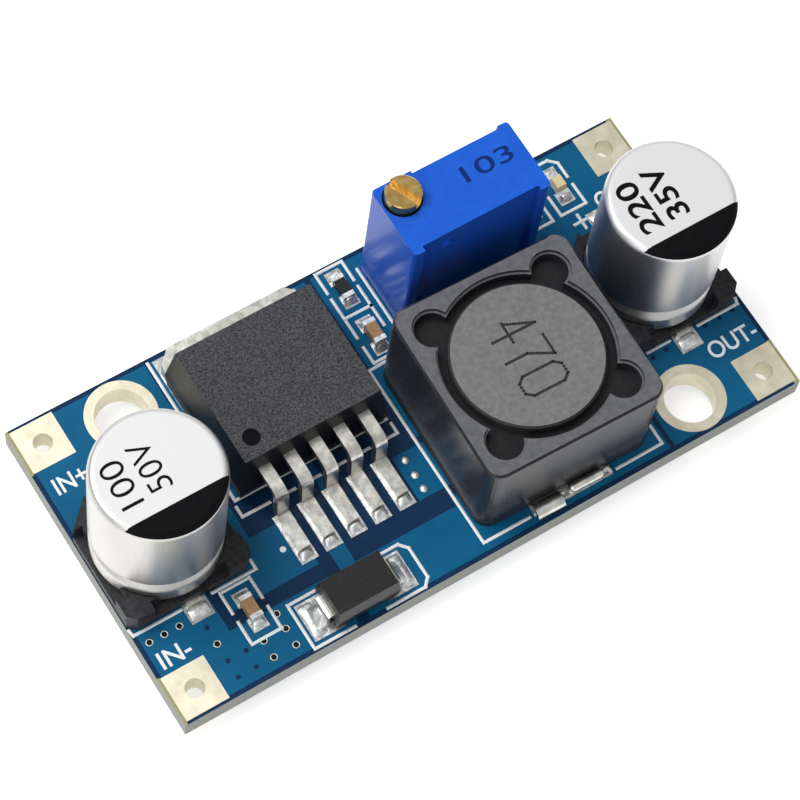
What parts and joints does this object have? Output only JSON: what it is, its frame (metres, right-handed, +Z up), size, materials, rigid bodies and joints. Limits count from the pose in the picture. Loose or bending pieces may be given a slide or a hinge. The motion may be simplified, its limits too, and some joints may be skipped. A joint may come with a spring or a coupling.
{
  "type": "buck converter module",
  "caption": "Step-down converter board with two can capacitors, regulator, shielded coil and a multi-turn trimmer whose brass screw turns.",
  "frame": {"origin": "below the centre of the board, level with the tips of the trimmer's pins, the part's lowest points", "axes": "+X from the input end to the output end, +Y towards the positive side with the trimmer, +Z up out of the component side"},
  "size_m": [0.0434, 0.021, 0.0134],
  "materials": {
    "board": "glass-epoxy laminate under a glossy blue solder mask",
    "tinned": "tin plating, satin",
    "solder": "bright solder",
    "can": "drawn aluminium can, printed top",
    "base_plastic": "black moulded base, fine texture",
    "strip": "tinned strip",
    "epoxy": "moulded epoxy, sparkling matt top and glossy flanks",
    "lead": "tinned copper lead",
    "ferrite": "dark grey ferrite",
    "ferrite_core": "ground grey ferrite",
    "copper": "enamelled copper wire",
    "filler": "black resin",
    "blue_plastic": "royal blue moulded nylon",
    "brass": "turned brass",
    "rubber": "black O-ring",
    "cream_plastic": "cream moulded plastic",
    "alumina": "white alumina",
    "potting": "blue resin",
    "dielectric": "brown ceramic",
    "chip_end": "tinned chip end",
    "glaze": "black glaze",
    "lamp_resin": "milky yellow resin"
  },
  "bodies": {
    "module": {"circuit_board": "board", "wire_pad_in_minus": "tinned", "wire_pad_in_plus": "tinned", "wire_pad_out_minus": "tinned", "wire_pad_out_plus": "tinned", "mount_ring_in": "tinned", "mount_ring_out": "tinned", "component_lands": "solder", "input_cap_can": "can", "input_cap_base": "base_plastic", "input_cap_terminal_minus": "strip", "input_cap_terminal_plus": "strip", "output_cap_can": "can", "output_cap_base": "base_plastic", "output_cap_terminal_minus": "strip", "output_cap_terminal_plus": "strip", "regulator_body": "epoxy", "regulator_tab": "lead", "regulator_lead_1": "lead", "regulator_lead_2": "lead", "regulator_lead_4": "lead", "regulator_lead_5": "lead", "inductor_shield": "ferrite", "inductor_core": "ferrite_core", "inductor_winding": "copper", "inductor_filler": "filler", "inductor_base": "base_plastic", "inductor_terminal_front": "strip", "inductor_terminal_back": "strip", "trimmer_housing": "blue_plastic", "trimmer_seal": "rubber", "trimmer_element": "alumina", "trimmer_potting": "potting", "trimmer_pin_1": "lead", "trimmer_pin_2": "lead", "trimmer_pin_3": "lead", "pin_solder_joints": "solder", "diode_body": "epoxy", "diode_lead_in": "lead", "diode_lead_out": "lead", "input_chip_cap": "dielectric", "input_chip_cap_ends": "chip_end", "feedback_chip_cap": "dielectric", "feedback_chip_cap_ends": "chip_end", "divider_resistor": "glaze", "divider_resistor_ends": "chip_end", "lamp_resistor": "glaze", "lamp_resistor_ends": "chip_end", "lamp_base": "alumina", "lamp_lens": "lamp_resin", "lamp_ends": "chip_end"},
    "adjusting_screw": {"trimmer_screw": "brass"},
    "wiper_rotor": {"trimmer_rotor": "cream_plastic", "trimmer_wiper": "brass"}
  },
  "joints": [
    {"name": "screw_turn", "type": "hinge", "parent": "module", "child": "adjusting_screw", "pos_m": [0.00366, 0.00808, 0.0125], "axis": [0, 0, 1], "continuous": true},
    {"name": "rotor_turn", "type": "hinge", "parent": "module", "child": "wiper_rotor", "pos_m": [0.00754, 0.00808, 0.0078], "axis": [0, 1, 0], "continuous": true}
  ],
  "couplings": [
    {"joint": "rotor_turn", "follows": "screw_turn", "ratio": -0.033333}
  ]
}
